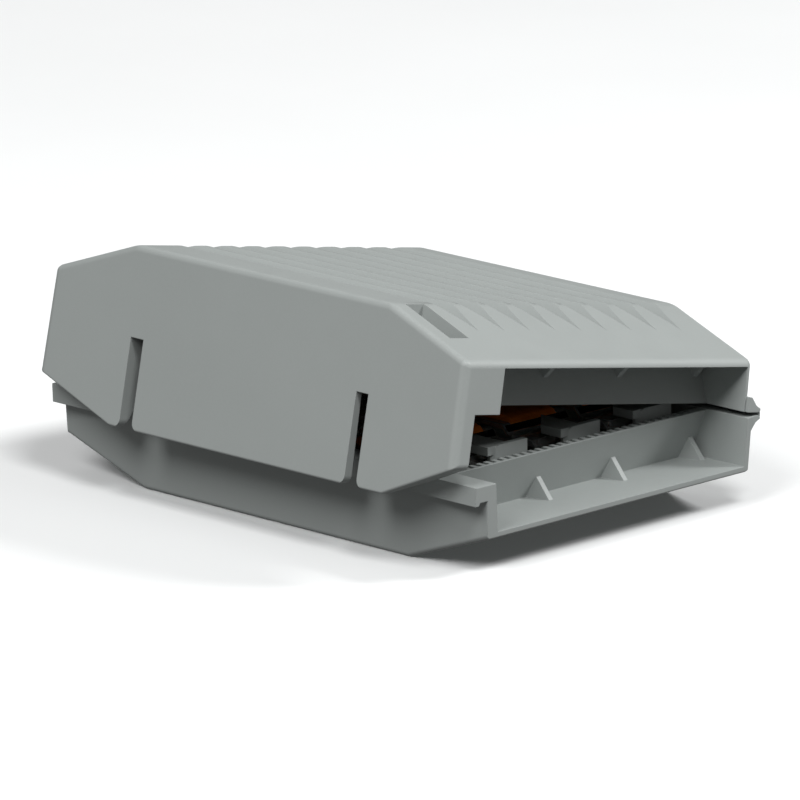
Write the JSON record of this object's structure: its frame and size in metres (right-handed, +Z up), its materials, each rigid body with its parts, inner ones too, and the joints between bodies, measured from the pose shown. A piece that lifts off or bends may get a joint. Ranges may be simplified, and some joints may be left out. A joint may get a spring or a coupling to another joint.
{
  "type": "gel-filled splice box with lever wire connectors",
  "caption": "Low grey clamshell box with fluted lid, film hinge and latch flap, open cable mouths at both ends, holding inline lever wire connectors in gel.",
  "frame": {"origin": "centre of the flat base face, between the sloped ends", "axes": "+X from the latch flap to the film hinge, +Y from the front cable mouth to the rear one, +Z up"},
  "size_m": [0.0399, 0.0538, 0.0231],
  "materials": {
    "shell": "fine matt moulded grey",
    "housing": "semi-gloss moulded grey",
    "lever": "semi-gloss moulded orange",
    "busbar": "tinned copper strip",
    "spring": "bright spring steel strip",
    "gel": "soft glossy dark amber gel"
  },
  "bodies": {
    "lower_half": {"lower_shell": "shell", "hinge_film": "shell", "gel_lower": "gel", "housing_1": "housing", "cover_1": "housing", "busbar_1": "busbar", "clamp_front_1": "spring", "clamp_rear_1": "spring", "housing_2": "housing", "cover_2": "housing", "busbar_2": "busbar", "clamp_front_2": "spring", "clamp_rear_2": "spring", "housing_3": "housing", "cover_3": "housing", "busbar_3": "busbar", "clamp_front_3": "spring", "clamp_rear_3": "spring"},
    "lid": {"lid_shell": "shell", "gel_upper": "gel"},
    "lever_front_1": {"lever_front_1": "lever"},
    "lever_rear_1": {"lever_rear_1": "lever"},
    "lever_front_2": {"lever_front_2": "lever"},
    "lever_rear_2": {"lever_rear_2": "lever"},
    "lever_front_3": {"lever_front_3": "lever"},
    "lever_rear_3": {"lever_rear_3": "lever"}
  },
  "joints": [
    {"name": "lid_hinge", "type": "hinge", "parent": "lower_half", "child": "lid", "pos_m": [0.0182, 0, 0.0085], "axis": [0, 1, 0], "range_deg": [-9.73, 160]},
    {"name": "lever_front_1_turn", "type": "hinge", "parent": "lower_half", "child": "lever_front_1", "pos_m": [-0.0072, -0.00535, 0.0073], "axis": [-1, 0, 0], "range_deg": [0, 85]},
    {"name": "lever_rear_1_turn", "type": "hinge", "parent": "lower_half", "child": "lever_rear_1", "pos_m": [-0.0072, 0.00535, 0.0073], "axis": [1, 0, 0], "range_deg": [0, 85]},
    {"name": "lever_front_2_turn", "type": "hinge", "parent": "lower_half", "child": "lever_front_2", "pos_m": [0.0021, -0.00535, 0.0073], "axis": [-1, 0, 0], "range_deg": [0, 52]},
    {"name": "lever_rear_2_turn", "type": "hinge", "parent": "lower_half", "child": "lever_rear_2", "pos_m": [0.0021, 0.00535, 0.0073], "axis": [1, 0, 0], "range_deg": [0, 52]},
    {"name": "lever_front_3_turn", "type": "hinge", "parent": "lower_half", "child": "lever_front_3", "pos_m": [0.0114, -0.00535, 0.0073], "axis": [-1, 0, 0], "range_deg": [0, 36]},
    {"name": "lever_rear_3_turn", "type": "hinge", "parent": "lower_half", "child": "lever_rear_3", "pos_m": [0.0114, 0.00535, 0.0073], "axis": [1, 0, 0], "range_deg": [0, 36]}
  ]
}
